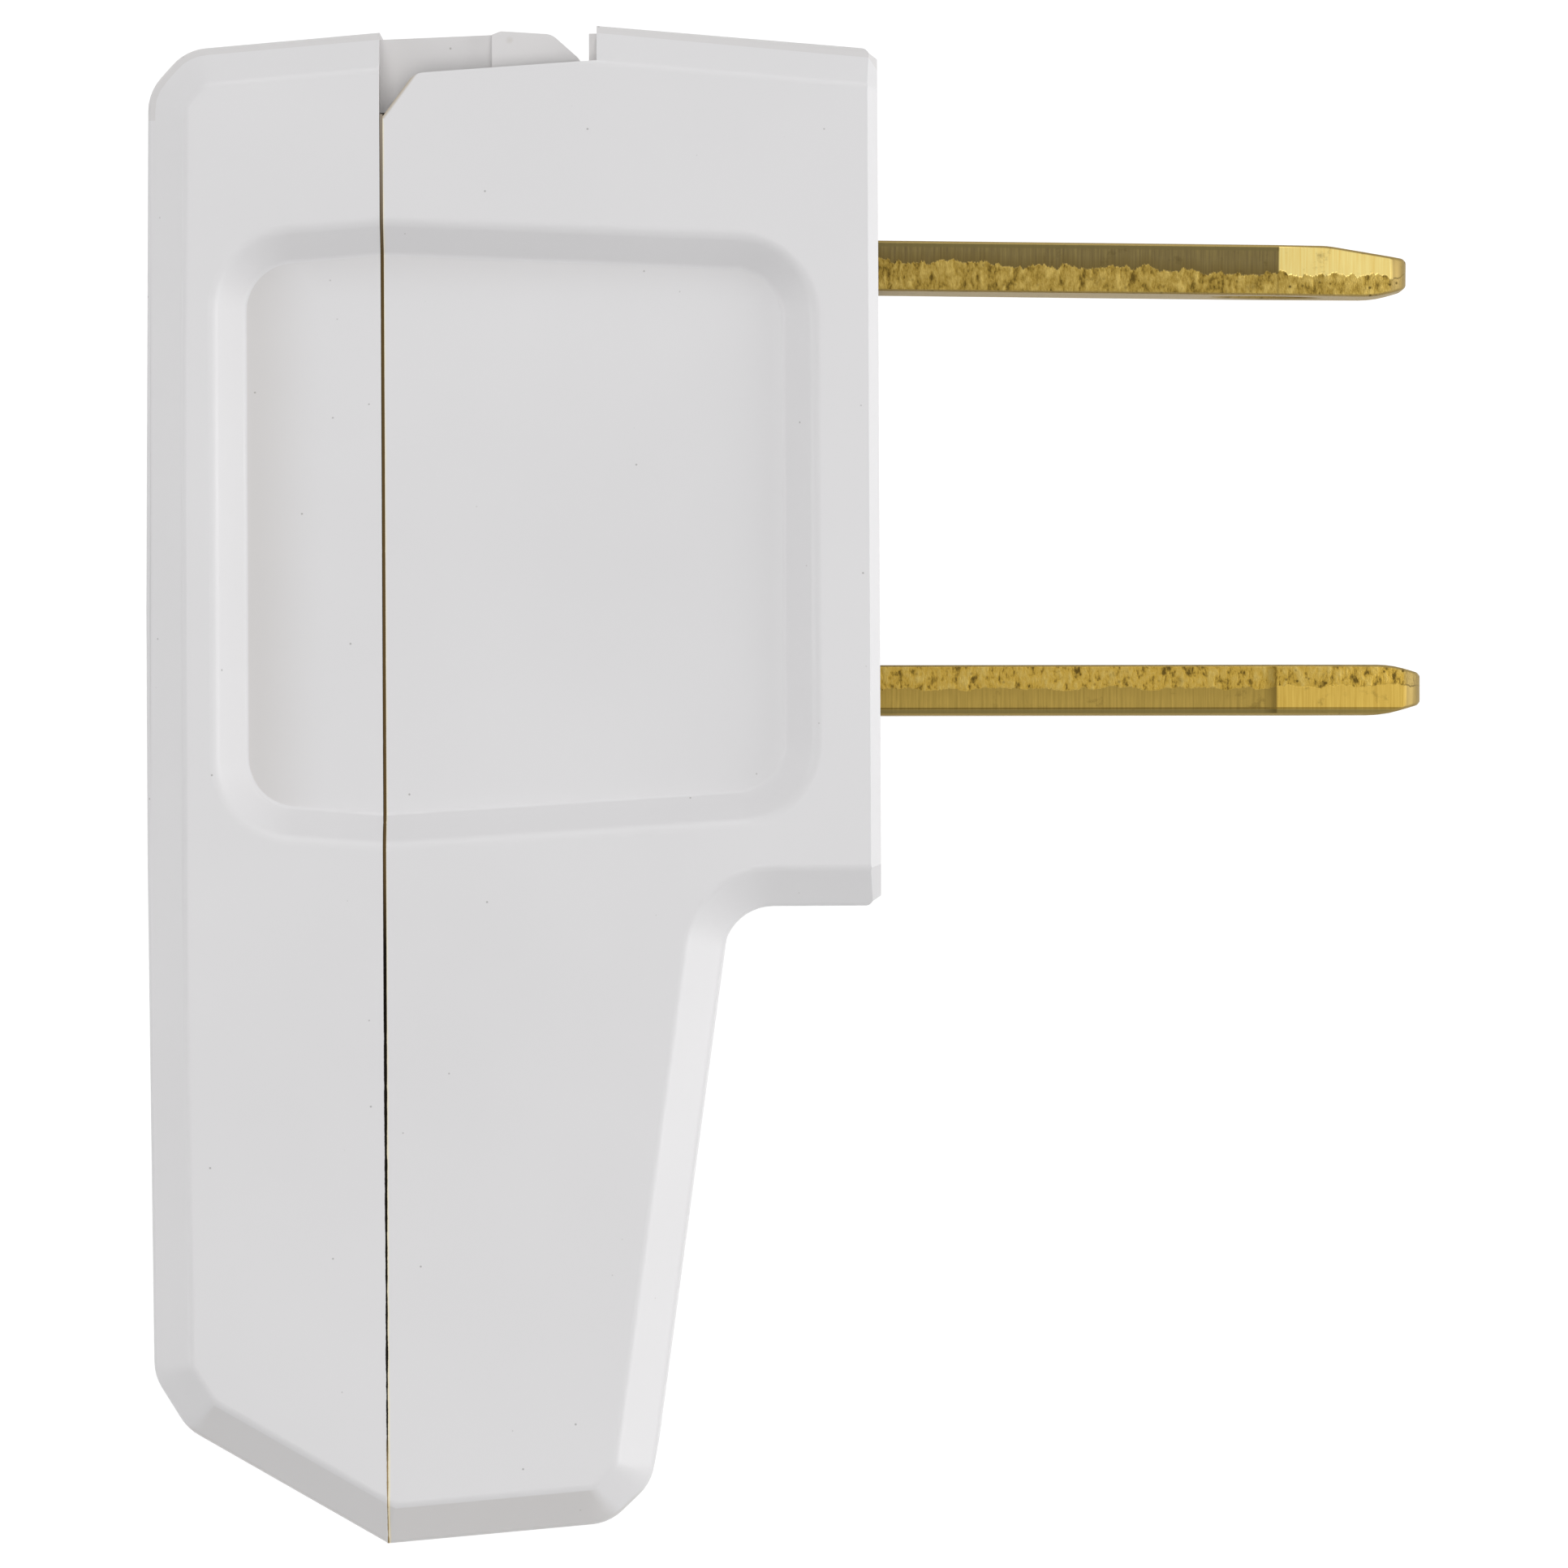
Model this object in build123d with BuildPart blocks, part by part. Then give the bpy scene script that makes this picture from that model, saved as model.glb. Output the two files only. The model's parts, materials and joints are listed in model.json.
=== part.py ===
"""Two-blade straight plug, rewirable, lying on its side.

Millimetres. The origin is on the mating face, midway between the blades.
+X runs out along the blades, +Y from the cord end to the hooked end, +Z up.
"""
import os

from build123d import *

os.makedirs("parts", exist_ok=True)

# Blades
blade_spacing = 12.7
blade_width = 6.35
blade_thickness = 1.52
upper_blade_length = 16.0
lower_blade_length = 16.36
upper_blade_droop = 0.92
lower_blade_droop = 0.2
upper_blade_shift = 0.05
lower_blade_shift = -0.06
blade_taper_length = 4.0
blade_tip_width = 4.3
blade_tip_round = 0.7
# Length and depth of the slopes that lead to a tip: outer ones by blade, inner ones alike
upper_lead = (2.4, 0.36)
lower_lead = (1.1, 0.32)
inner_lead = (0.9, 0.26)
blade_lead_round = 3.0
blade_end_round = 0.2
blade_hole = 3.4
blade_hole_from_tip = 4.2
blade_bend = 0.3
blade_slot_clearance = 0.12

# Moulded body, seen from the side
body_width = 25.0
front_depth = 14.75
cover_depth = 7.08
seam_gap = 0.1
mating_top = 12.63
mating_bottom = 12.85
peak_rise = 0.93
peak_depth = 10.5
back_crown = 0.14
back_top_drop = 1.17
top_corner_depth = 1.12
top_corner_rise = 0.08
tail_length = 31.76
back_bottom_rise = 5.01
tail_corner_depth = 0.98
tail_corner_rise = 3.44
heel_rise = 0.58
heel_depth = 8.17
leg_end_rise = 1.79
leg_end_depth = 6.9
leg_root_depth = 4.51
leg_root_round = 1.5
outline_round = 1.5
bevel = 1.12
soft_edge = 0.34
mating_edge = 0.3
wall = 2.0
front_wall = 2.2
side_wall = 2.6

# Grip recess in each side
grip_back_margin = 2.08
grip_front = 1.92
grip_top_back = 7.12
grip_top_seam = 7.52
grip_top_front = 6.95
grip_bottom_back = 10.6
grip_bottom_seam = 10.98
grip_bottom_front = 10.22
grip_corner = 2.4
grip_depth = 1.0
grip_slope = 42.0
grip_rim_round = 0.5
grip_floor_round = 0.2

# Hooked end: ears of the front body and the tongue of the cover between them
roof_length = 8.34
ear_front_drop = 0.32
ear_back_drop = 0.68
ear_corner_depth = 1.0
ear_corner_drop = 2.03
ear_corner_round = 0.6
tongue_rise = 0.29
tongue_neck_climb = 0.2
tongue_head_rise = 0.1
tongue_head_fall = 0.1
tongue_head_length = 2.68
tongue_head_step = 0.27
tongue_nose_length = 0.9
tongue_nose_drop = 0.9
tongue_nose_round = 0.5
tongue_thickness = 2.1
ear_thickness = 0.95
tongue_side_gap = 0.2
tongue_under_gap = 0.3
tongue_neck = 0.4
tongue_end_gap = 0.32
lip_length = 0.12
lip_drop = 0.24

# Terminals behind the mating face
pad_thickness = 1.8
pad_margin = 1.2
foot_end_gap = 0.41
foot_seat_gap = 0.1
terminal_thread = 3.0
terminal_thread_clearance = 0.03
terminal_head = 4.6
terminal_head_height = 1.7
terminal_tip = 1.4
terminal_tip_clearance = 0.3
terminal_head_gap = 0.3
driver_slot = 0.8
driver_slot_depth = 0.8
screw_head_bevel = 0.4
clamp_thickness = 0.8
clamp_side_gap = 0.175
clamp_height = 4.1
clamp_clearance = 0.15
barrier_thickness = 1.2
barrier_length = 6.0
hold_rib_thickness = 0.75
hold_rib_height = 3.0
hold_rib_gap = 0.2

# Cover screw and its bosses
cover_screw_rise = 8.76
cover_screw_thread = 3.0
cover_screw_clearance = 0.05
cover_screw_head = 5.8
cover_screw_head_height = 1.9
cover_screw_sunk = 0.4
cover_screw_reach = 6.0
cover_screw_end_room = 0.8
boss_wall = 1.7
head_clearance = 0.3

# Cord inlet and the ribs that grip the cord
inlet_diameter = 7.6
inlet_length = 6.6
cord_rib_count = 3
cord_rib_pitch = 1.6
cord_rib_thickness = 0.7
cord_rib_bite = 1.3

# Worked out from the sizes above
half_width = body_width / 2
body_depth = front_depth + cover_depth
inner_half_width = half_width - side_wall
seam_x = -front_depth
front_seam_x = seam_x + seam_gap / 2
cover_seam_x = seam_x - seam_gap / 2
back_edge_x = back_crown - body_depth
back_wall_x = wall - body_depth
pad_face_x = -front_wall - pad_thickness
foot_face_x = pad_face_x - foot_seat_gap - blade_thickness
blade_y = blade_spacing / 2
terminal_y = barrier_thickness / 2 + terminal_head_gap + terminal_head / 2
terminal_inset = blade_y - terminal_y
foot_length = blade_y + blade_thickness / 2 - barrier_thickness / 2 - foot_end_gap
clamp_width = blade_width - 2 * (hold_rib_thickness + clamp_side_gap)
tip_pocket = terminal_thread + 2 * terminal_tip_clearance
inlet_top = inlet_length - tail_length
cover_screw_height = -inlet_top - cover_screw_rise
ear_inner_half_width = half_width - ear_thickness
tongue_half_width = ear_inner_half_width - tongue_side_gap
tongue_end_x = -roof_length - lip_length - tongue_end_gap
tongue_head_x = tongue_end_x - tongue_head_length
tongue_root_x = seam_x - wall
screw_seat_x = cover_screw_sunk + cover_screw_head_height - body_depth
screw_boss = cover_screw_thread + 2 * boss_wall
head_bore = cover_screw_head + 2 * head_clearance
clear_of_body = body_depth + tail_length
peak_height = mating_top + peak_rise
back_top = mating_top - back_top_drop
back_bottom = tail_length - back_bottom_rise
grip_back = body_depth - grip_back_margin
roof_height = mating_top + peak_rise * roof_length / peak_depth
ear_back_height = mating_top - ear_back_drop
ear_corner_height = mating_top - ear_corner_drop
tongue_height = mating_top + tongue_rise
tongue_neck_height = tongue_height + tongue_neck_climb
tongue_head_height = tongue_neck_height + tongue_head_rise
tongue_under = tongue_height - tongue_thickness

outline_points = [
    (back_edge_x + top_corner_depth, mating_top + top_corner_rise),
    (-peak_depth, peak_height),
    (0, mating_top),
    (0, -mating_bottom),
    (-leg_root_depth, -mating_bottom),
    (-leg_end_depth, leg_end_rise - tail_length),
    (-heel_depth, heel_rise - tail_length),
    (seam_x, -tail_length),
    (back_edge_x + tail_corner_depth, tail_corner_rise - tail_length),
    (back_edge_x, -back_bottom),
]

with BuildSketch() as side_outline:
    with BuildLine():
        Polyline(*outline_points)
        ThreePointArc(
            (back_edge_x, -back_bottom),
            (-body_depth, (back_top - back_bottom) / 2),
            (back_edge_x, back_top),
        )
        Line((back_edge_x, back_top), outline_points[0])
    make_face()
    leg_corner = side_outline.vertices().sort_by_distance((-leg_root_depth, -mating_bottom))[0]
    fillet(leg_corner, leg_root_round)
    # Blunt corners of the back and of the leg's end
    blunt_points = outline_points[:1] + outline_points[5:7] + outline_points[8:] + [(back_edge_x, back_top)]
    fillet([side_outline.vertices().sort_by_distance(point)[0] for point in blunt_points], outline_round)

# Hollow of one grip recess and of its mirror image in the other side
with BuildPart() as grip_hollow:
    with BuildSketch(Plane.XY.offset(half_width)) as grip_outline:
        with BuildLine():
            Polyline(
                (-grip_back, grip_top_back),
                (seam_x, grip_top_seam),
                (-grip_front, grip_top_front),
                (-grip_front, -grip_bottom_front),
                (seam_x, -grip_bottom_seam),
                (-grip_back, -grip_bottom_back),
                close=True,
            )
        make_face()
        grip_ends = grip_outline.vertices().group_by(Axis.X)
        fillet(grip_ends[0] + grip_ends[-1], grip_corner)
    extrude(amount=-grip_depth, taper=grip_slope)
    mirror(about=Plane.XY)

# Outer form of both halves together: a wide bevel round each side, with its inner edge rounded,
# and a narrow one round the mating face
with BuildPart() as plug_form:
    add(side_outline.sketch)
    extrude(amount=half_width, both=True)
    side_faces = plug_form.faces().filter_by(Axis.Z)
    chamfer(side_faces.edges().filter_by(lambda edge: edge.center().X < -mating_edge), bevel)
    chamfer(plug_form.faces().sort_by(Axis.X)[-1].edges(), mating_edge)
    side_rims = plug_form.faces().filter_by(Axis.Z).edges()
    fillet(side_rims.filter_by(lambda edge: edge.center().X < -2 * mating_edge), soft_edge)
    add(grip_hollow.part, mode=Mode.SUBTRACT)
    grip_floors = plug_form.faces().filter_by(Axis.Z).filter_by(
        lambda face: abs(face.center().Z) < half_width - grip_depth / 2
    )
    fillet(grip_floors.edges(), grip_floor_round)
    sides = plug_form.faces().filter_by(Axis.Z).filter_by(lambda face: len(face.inner_wires()) > 0)
    fillet([edge for side in sides for wire in side.inner_wires() for edge in wire.edges()], grip_rim_round)

# Space for the wires inside both halves, above the solid end round the cord inlet
with BuildPart() as wiring_space:
    with BuildSketch():
        add(side_outline.sketch)
        offset(amount=-wall, kind=Kind.INTERSECTION)
        with Locations((-front_wall, inlet_top)):
            Rectangle(clear_of_body, clear_of_body, align=(Align.MAX, Align.MIN), mode=Mode.INTERSECT)
    extrude(amount=inner_half_width, both=True)

# Bore that the cord comes in by, along the seam
with BuildPart() as cord_inlet:
    with BuildSketch(Plane.XZ.offset(-inlet_top)):
        with Locations((seam_x, 0)):
            Circle(inlet_diameter / 2)
    extrude(amount=clear_of_body)

with BuildPart() as front_body:
    add(plug_form.part)
    split(bisect_by=Plane.YZ.offset(front_seam_x), keep=Keep.TOP)
    add(wiring_space.part, mode=Mode.SUBTRACT)
    # Notch across the top end, down to the ears
    with BuildSketch() as notch:
        with BuildLine():
            Polyline(
                (-roof_length, mating_top - ear_front_drop),
                (-roof_length, clear_of_body),
                (seam_x - wall, clear_of_body),
                (seam_x - wall, ear_corner_height),
                (seam_x, ear_corner_height),
                (seam_x + ear_corner_depth, ear_back_height),
                close=True,
            )
        make_face()
        ear_tip = notch.vertices().sort_by_distance((seam_x + ear_corner_depth, ear_back_height))[0]
        fillet(ear_tip, ear_corner_round)
    extrude(amount=half_width, both=True, mode=Mode.SUBTRACT)
    # Slot between the ears for the cover's tongue, deeper in the middle, and the lip on the roof before it
    for slot_half_width, slot_floor in (
        (ear_inner_half_width, tongue_under - tongue_under_gap),
        (inner_half_width, tongue_under - wall),
    ):
        with BuildSketch():
            with Locations((-roof_length, slot_floor)):
                Rectangle(front_depth, clear_of_body, align=(Align.MAX, Align.MIN))
        extrude(amount=slot_half_width, both=True, mode=Mode.SUBTRACT)
    with BuildSketch():
        with Locations((-roof_length, roof_height - lip_drop)):
            Rectangle(lip_length + soft_edge, wall, align=(Align.CENTER, Align.MAX))
    extrude(amount=ear_inner_half_width, both=True)
    # Pad that the blade feet lie on, with the barrier between the two terminals
    with BuildSketch(Plane.YZ.offset(-front_wall)):
        Rectangle(blade_spacing + blade_thickness + 2 * pad_margin, blade_width + 2 * pad_margin)
    extrude(amount=-pad_thickness)
    with BuildSketch(Plane.YZ.offset(pad_face_x)):
        Rectangle(barrier_thickness, blade_width + 2 * pad_margin)
    extrude(amount=-barrier_length)
    # Boss for the cover screw
    with BuildSketch(Plane.YZ.offset(front_seam_x)):
        with Locations((-cover_screw_height, 0)):
            Circle(screw_boss / 2)
    extrude(amount=front_depth - leg_root_depth - wall)
    # Ribs that grip the cord above the inlet
    with BuildSketch(Plane.YZ.offset(seam_x + inlet_diameter / 2 - cord_rib_bite)):
        with Locations((inlet_top + cord_rib_count * cord_rib_pitch / 2, 0)):
            with GridLocations(cord_rib_pitch, inlet_diameter, cord_rib_count, 1):
                Rectangle(cord_rib_thickness, inlet_diameter)
    extrude(amount=front_depth - leg_root_depth - wall - inlet_diameter / 2 + cord_rib_bite)
    # Slots for the blades, pockets for the terminal screws' ends, the boss hole and the inlet
    with BuildSketch(Plane.YZ):
        with GridLocations(blade_spacing, blade_width, 2, 1):
            Rectangle(blade_thickness + 2 * blade_slot_clearance, blade_width + 2 * blade_slot_clearance)
    extrude(amount=pad_face_x, mode=Mode.SUBTRACT)
    with BuildSketch(Plane.YZ.offset(pad_face_x)):
        with GridLocations(2 * terminal_y, blade_width, 2, 1):
            Rectangle(tip_pocket, tip_pocket)
    extrude(amount=terminal_tip + terminal_tip_clearance, mode=Mode.SUBTRACT)
    with BuildSketch(Plane.YZ.offset(front_seam_x)):
        with Locations((-cover_screw_height, 0)):
            Circle(cover_screw_thread / 2 + cover_screw_clearance)
    extrude(amount=cover_screw_reach + cover_screw_end_room, mode=Mode.SUBTRACT)
    add(cord_inlet.part, mode=Mode.SUBTRACT)
front_body.part.label = "front_body"
export_step(front_body.part, "parts/front_body.step")

with BuildPart() as rear_cover:
    add(plug_form.part)
    split(bisect_by=Plane.YZ.offset(cover_seam_x), keep=Keep.BOTTOM)
    add(wiring_space.part, mode=Mode.SUBTRACT)
    # Tongue over the front body, climbing to its head and narrower behind it
    with BuildSketch():
        with BuildLine():
            Polyline(
                (tongue_root_x, tongue_under),
                (tongue_root_x, tongue_height),
                (tongue_head_x, tongue_neck_height),
                (tongue_head_x + tongue_head_step, tongue_neck_height),
                (tongue_head_x + tongue_head_step, tongue_under),
                close=True,
            )
        make_face()
    extrude(amount=tongue_half_width - tongue_neck, both=True)
    with BuildSketch() as tongue_head:
        with BuildLine():
            Polyline(
                (tongue_head_x, tongue_under),
                (tongue_head_x, tongue_neck_height),
                (tongue_head_x + tongue_head_step, tongue_head_height),
                (tongue_end_x - tongue_nose_length, tongue_head_height - tongue_head_fall),
                (tongue_end_x, tongue_head_height - tongue_nose_drop),
                (tongue_end_x, tongue_under),
                close=True,
            )
        make_face()
        nose = tongue_head.vertices().filter_by(lambda corner: corner.Y > tongue_under).sort_by(Axis.X)[-2:]
        fillet(nose, tongue_nose_round)
    extrude(amount=tongue_half_width, both=True)
    # Ribs that hold the blade feet down on their pad
    with BuildSketch(Plane.YZ.offset(foot_face_x - hold_rib_gap)):
        with GridLocations(2 * terminal_y, blade_width - hold_rib_thickness, 2, 2):
            Rectangle(hold_rib_height, hold_rib_thickness)
    extrude(amount=back_wall_x - foot_face_x + hold_rib_gap)
    # Boss and counterbore for the cover screw
    with BuildSketch(Plane.YZ.offset(cover_seam_x)):
        with Locations((-cover_screw_height, 0)):
            Circle(screw_boss / 2)
    extrude(amount=back_wall_x - cover_seam_x)
    with BuildSketch(Plane.YZ.offset(screw_seat_x + boss_wall)):
        with Locations((-cover_screw_height, 0)):
            Circle(head_bore / 2 + boss_wall)
    extrude(amount=back_wall_x - screw_seat_x - boss_wall)
    with BuildSketch(Plane.YZ.offset(screw_seat_x)):
        with Locations((-cover_screw_height, 0)):
            Circle(head_bore / 2)
    extrude(amount=-body_depth, mode=Mode.SUBTRACT)
    with BuildSketch(Plane.YZ.offset(screw_seat_x)):
        with Locations((-cover_screw_height, 0)):
            Circle(cover_screw_thread / 2 + cover_screw_clearance)
    extrude(amount=body_depth, mode=Mode.SUBTRACT)
    # Ribs that grip the cord, between those of the front body
    with BuildSketch(Plane.YZ.offset(seam_x - inlet_diameter / 2 + cord_rib_bite)):
        with Locations((inlet_top + (cord_rib_count + 1) * cord_rib_pitch / 2, 0)):
            with GridLocations(cord_rib_pitch, inlet_diameter, cord_rib_count, 1):
                Rectangle(cord_rib_thickness, inlet_diameter)
    extrude(amount=back_wall_x - seam_x + inlet_diameter / 2 - cord_rib_bite)
    add(cord_inlet.part, mode=Mode.SUBTRACT)
rear_cover.part.label = "rear_cover"
export_step(rear_cover.part, "parts/rear_cover.step")

# Each blade with its terminal: the foot turns in towards the middle of the plug
blade_rows = [
    ("upper", 1, upper_blade_length, upper_blade_droop, upper_blade_shift, upper_lead),
    ("lower", -1, lower_blade_length, lower_blade_droop, lower_blade_shift, lower_lead),
]
edge_y = blade_thickness / 2
foot_x = foot_face_x + blade_thickness
for row_name, outward, blade_length, droop, shift, outer_lead in blade_rows:
    # Planes on the blade's middle at the mating face, and on the foot at the screw
    root = Plane((0, outward * blade_y + shift, 0)).rotated((0, 0, -droop))
    flat = Plane(root.origin, x_dir=root.x_dir, z_dir=root.y_dir)
    foot_end_y = outward * (edge_y - foot_length)
    foot_middle = root.from_local_coords((foot_face_x, -outward * terminal_inset, 0))
    terminal = Plane(foot_middle, x_dir=root.y_dir, z_dir=-root.x_dir)

    with BuildPart() as blade:
        with BuildSketch(root) as blade_side:
            with BuildLine():
                Polyline(
                    (foot_face_x, foot_end_y),
                    (foot_face_x, outward * edge_y),
                    (blade_length - outer_lead[0], outward * edge_y),
                    (blade_length, outward * (edge_y - outer_lead[1])),
                    (blade_length, outward * (inner_lead[1] - edge_y)),
                    (blade_length - inner_lead[0], -outward * edge_y),
                    (foot_x, -outward * edge_y),
                    (foot_x, foot_end_y),
                    close=True,
                )
            make_face()
            outer_bend = blade_side.vertices().sort_by_distance((foot_face_x, outward * edge_y))[0]
            fillet(outer_bend, blade_bend + blade_thickness)
            inner_bend = blade_side.vertices().sort_by_distance((foot_x, -outward * edge_y))[0]
            fillet(inner_bend, blade_bend)
            lead_corners = blade_side.vertices().sort_by(Axis.X)[-4:-2]
            fillet(lead_corners, blade_lead_round)
            end_corners = blade_side.vertices().sort_by(Axis.X)[-2:]
            fillet(end_corners, blade_end_round)
        extrude(amount=blade_width / 2, both=True)
        # Width tapers to a rounded tip
        with BuildSketch(flat) as blade_plan:
            with BuildLine():
                Polyline(
                    (foot_face_x, -blade_width / 2),
                    (blade_length - blade_taper_length, -blade_width / 2),
                    (blade_length, -blade_tip_width / 2),
                    (blade_length, blade_tip_width / 2),
                    (blade_length - blade_taper_length, blade_width / 2),
                    (foot_face_x, blade_width / 2),
                    close=True,
                )
            make_face()
            fillet(blade_plan.vertices().group_by(Axis.X)[-1], blade_tip_round)
        extrude(amount=blade_spacing, both=True, mode=Mode.INTERSECT)
        with BuildSketch(flat):
            with Locations((blade_length - blade_hole_from_tip, 0)):
                Circle(blade_hole / 2)
        extrude(amount=blade_thickness, both=True, mode=Mode.SUBTRACT)
        with BuildSketch(terminal):
            Circle(terminal_thread / 2 + terminal_thread_clearance)
        extrude(amount=-2 * blade_thickness, mode=Mode.SUBTRACT)
    blade.part.label = row_name + "_blade"
    export_step(blade.part, "parts/" + row_name + "_blade.step")

    with BuildPart() as wire_clamp:
        with BuildSketch(terminal):
            Rectangle(clamp_height, clamp_width)
            Circle(terminal_thread / 2 + clamp_clearance, mode=Mode.SUBTRACT)
        extrude(amount=clamp_thickness)
    wire_clamp.part.label = row_name + "_wire_clamp"
    export_step(wire_clamp.part, "parts/" + row_name + "_wire_clamp.step")

    with BuildPart() as terminal_screw:
        with BuildSketch(terminal.offset(clamp_thickness)):
            Circle(terminal_head / 2)
        extrude(amount=terminal_head_height)
        with BuildSketch(terminal.offset(clamp_thickness)):
            Circle(terminal_thread / 2)
        extrude(amount=-clamp_thickness - blade_thickness - foot_seat_gap - terminal_tip)
        with BuildSketch(terminal.offset(clamp_thickness + terminal_head_height)):
            Rectangle(driver_slot, 2 * terminal_head)
        extrude(amount=-driver_slot_depth, mode=Mode.SUBTRACT)
    terminal_screw.part.label = row_name + "_terminal_screw"
    export_step(terminal_screw.part, "parts/" + row_name + "_terminal_screw.step")

with BuildPart() as cover_screw:
    with BuildSketch(Plane.YZ.offset(screw_seat_x)):
        with Locations((-cover_screw_height, 0)):
            Circle(cover_screw_head / 2)
    extrude(amount=-cover_screw_head_height)
    chamfer(cover_screw.edges().sort_by(Axis.X)[0], screw_head_bevel)
    with BuildSketch(Plane.YZ.offset(screw_seat_x)):
        with Locations((-cover_screw_height, 0)):
            Circle(cover_screw_thread / 2)
    extrude(amount=seam_x + cover_screw_reach - screw_seat_x)
    with BuildSketch(Plane.YZ.offset(screw_seat_x - cover_screw_head_height)):
        with Locations((-cover_screw_height, 0)):
            Rectangle(driver_slot, 2 * cover_screw_head)
    extrude(amount=driver_slot_depth, mode=Mode.SUBTRACT)
cover_screw.part.label = "cover_screw"
export_step(cover_screw.part, "parts/cover_screw.step")
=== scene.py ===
"""Looks of a straight blade plug: moulded halves, sheared brass blades, plated screws and a plain stage."""
import json
import math

import bmesh
import bpy
from bpy.props import FloatProperty, FloatVectorProperty, PointerProperty
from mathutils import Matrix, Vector

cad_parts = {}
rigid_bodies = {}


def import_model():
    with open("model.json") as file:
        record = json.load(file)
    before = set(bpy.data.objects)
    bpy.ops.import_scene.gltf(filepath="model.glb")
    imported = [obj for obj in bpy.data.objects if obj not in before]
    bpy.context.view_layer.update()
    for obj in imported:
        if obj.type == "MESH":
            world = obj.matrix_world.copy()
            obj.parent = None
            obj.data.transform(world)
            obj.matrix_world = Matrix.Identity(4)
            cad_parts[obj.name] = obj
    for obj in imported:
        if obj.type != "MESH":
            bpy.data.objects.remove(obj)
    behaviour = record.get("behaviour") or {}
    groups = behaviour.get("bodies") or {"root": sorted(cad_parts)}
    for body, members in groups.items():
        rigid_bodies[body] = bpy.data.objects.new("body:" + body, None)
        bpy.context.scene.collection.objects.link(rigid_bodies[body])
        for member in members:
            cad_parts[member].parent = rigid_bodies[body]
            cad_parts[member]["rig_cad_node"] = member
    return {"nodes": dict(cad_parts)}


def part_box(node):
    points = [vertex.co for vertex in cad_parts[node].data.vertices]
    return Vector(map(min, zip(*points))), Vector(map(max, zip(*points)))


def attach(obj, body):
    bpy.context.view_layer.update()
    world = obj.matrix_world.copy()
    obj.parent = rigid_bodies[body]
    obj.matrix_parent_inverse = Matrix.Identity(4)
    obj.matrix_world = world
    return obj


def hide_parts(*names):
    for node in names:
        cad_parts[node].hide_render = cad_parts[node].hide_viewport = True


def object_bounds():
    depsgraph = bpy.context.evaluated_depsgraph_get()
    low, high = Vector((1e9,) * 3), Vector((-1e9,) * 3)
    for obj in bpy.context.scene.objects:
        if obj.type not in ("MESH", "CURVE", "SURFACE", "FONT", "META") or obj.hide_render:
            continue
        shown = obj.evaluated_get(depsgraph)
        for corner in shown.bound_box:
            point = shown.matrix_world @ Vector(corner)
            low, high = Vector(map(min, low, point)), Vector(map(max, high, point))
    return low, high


bl_info = {
    "name": "Straight blade plug",
    "version": (1, 0, 0),
    "blender": (4, 5, 0),
    "location": "View3D > Sidebar > Plug",
    "description": "Gives the packed plug its moulded plastic, sheared brass, plated screws and a stage",
    "category": "Object",
}

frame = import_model()
cad_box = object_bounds()

MM = 0.001
FLOOR_Z = cad_box[0].z
SIDE_Z = cad_box[1].z
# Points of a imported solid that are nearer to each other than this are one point
MERGE = 0.001 * MM
# Edges that bend more than the first angle stay sharp in shading; round_edges rounds those past the second
SMOOTH_ANGLE = math.radians(30)
SHARP_ANGLE = math.radians(35)
# Width of the gap between the halves, and where its middle lies
SEAM_GAP = 0.1 * MM
SEAM_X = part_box("front_body")[0].x - SEAM_GAP / 2
# Where the photograph's middle falls on the plug, and the distance that gives its perspective
VIEW_MIDDLE = (-2.874 * MM, -9.22 * MM)
VIEW_DISTANCE = 611.4 * MM
# Distance of the soft boxes from the plug and their width, in metres
LIGHT_DISTANCE = 0.7
LIGHT_SIZE = 0.45
# The floor's glow, and the share of it in what the camera and reflections see
FLOOR_GLOW = 1.16
GLOW_SHARE = 0.75
# Distance from a side face to the outer edge of the bevel round it
BEVEL = 1.12 * MM
# Each blade, in millimetres and degrees: its middle's height at the mating face and its droop, which way
# is outward, where the ragged line between its burnished and torn bands starts and how it slopes, how ragged
# it is and how dark the painted shade on the burnished band beside it gets, where the strip starts to narrow
# towards its tip, the width of the painted shade before the tip, how dull the rim is along the tip, and the
# strength of the tarnish line by the rim
BLADES = {
    "upper_blade": {
        "height": 6.4,
        "droop": 0.92,
        "outward": 1,
        "line": 0.17,
        "line_slope": -0.027,
        "ragged": 0.17,
        "line_shade": 0.5,
        "tip_start": 12.12,
        "tip_shade": 0.06,
        "tip_rim": 0.0,
        "rim_shade": 0.0,
    },
    "lower_blade": {
        "height": -6.41,
        "droop": 0.2,
        "outward": -1,
        "line": -0.06,
        "line_slope": 0.0,
        "ragged": 0.09,
        "line_shade": 0.15,
        "tip_start": 12.0,
        "tip_shade": 0.4,
        "tip_rim": 0.85,
        "rim_shade": 0.6,
    },
}
# Where the line between the bands runs along the tip, in millimetres
TIP_LINE = -0.13
# Height of the front half's corner at the seam; above it the seam is open
SEAM_TOP = 10.7 * MM
# Lower end and slope of the ears' slanted edge, and the height above which only the near ear reaches
EAR_CORNER = 10.6 * MM
EAR_SLOPE = math.atan2(1.35, 1.0)
EAR_INSIDE = 11.6 * MM
# Foot of the grip recess's walls beside the cover's back and by the hooked end, and its floor
RECESS_BACK = -18.85 * MM
RECESS_TOP = 6.6 * MM
RECESS_FLOOR = 11.5 * MM
# Height below which painted shade darkens the cord end
CORD_END = -22 * MM
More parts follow.
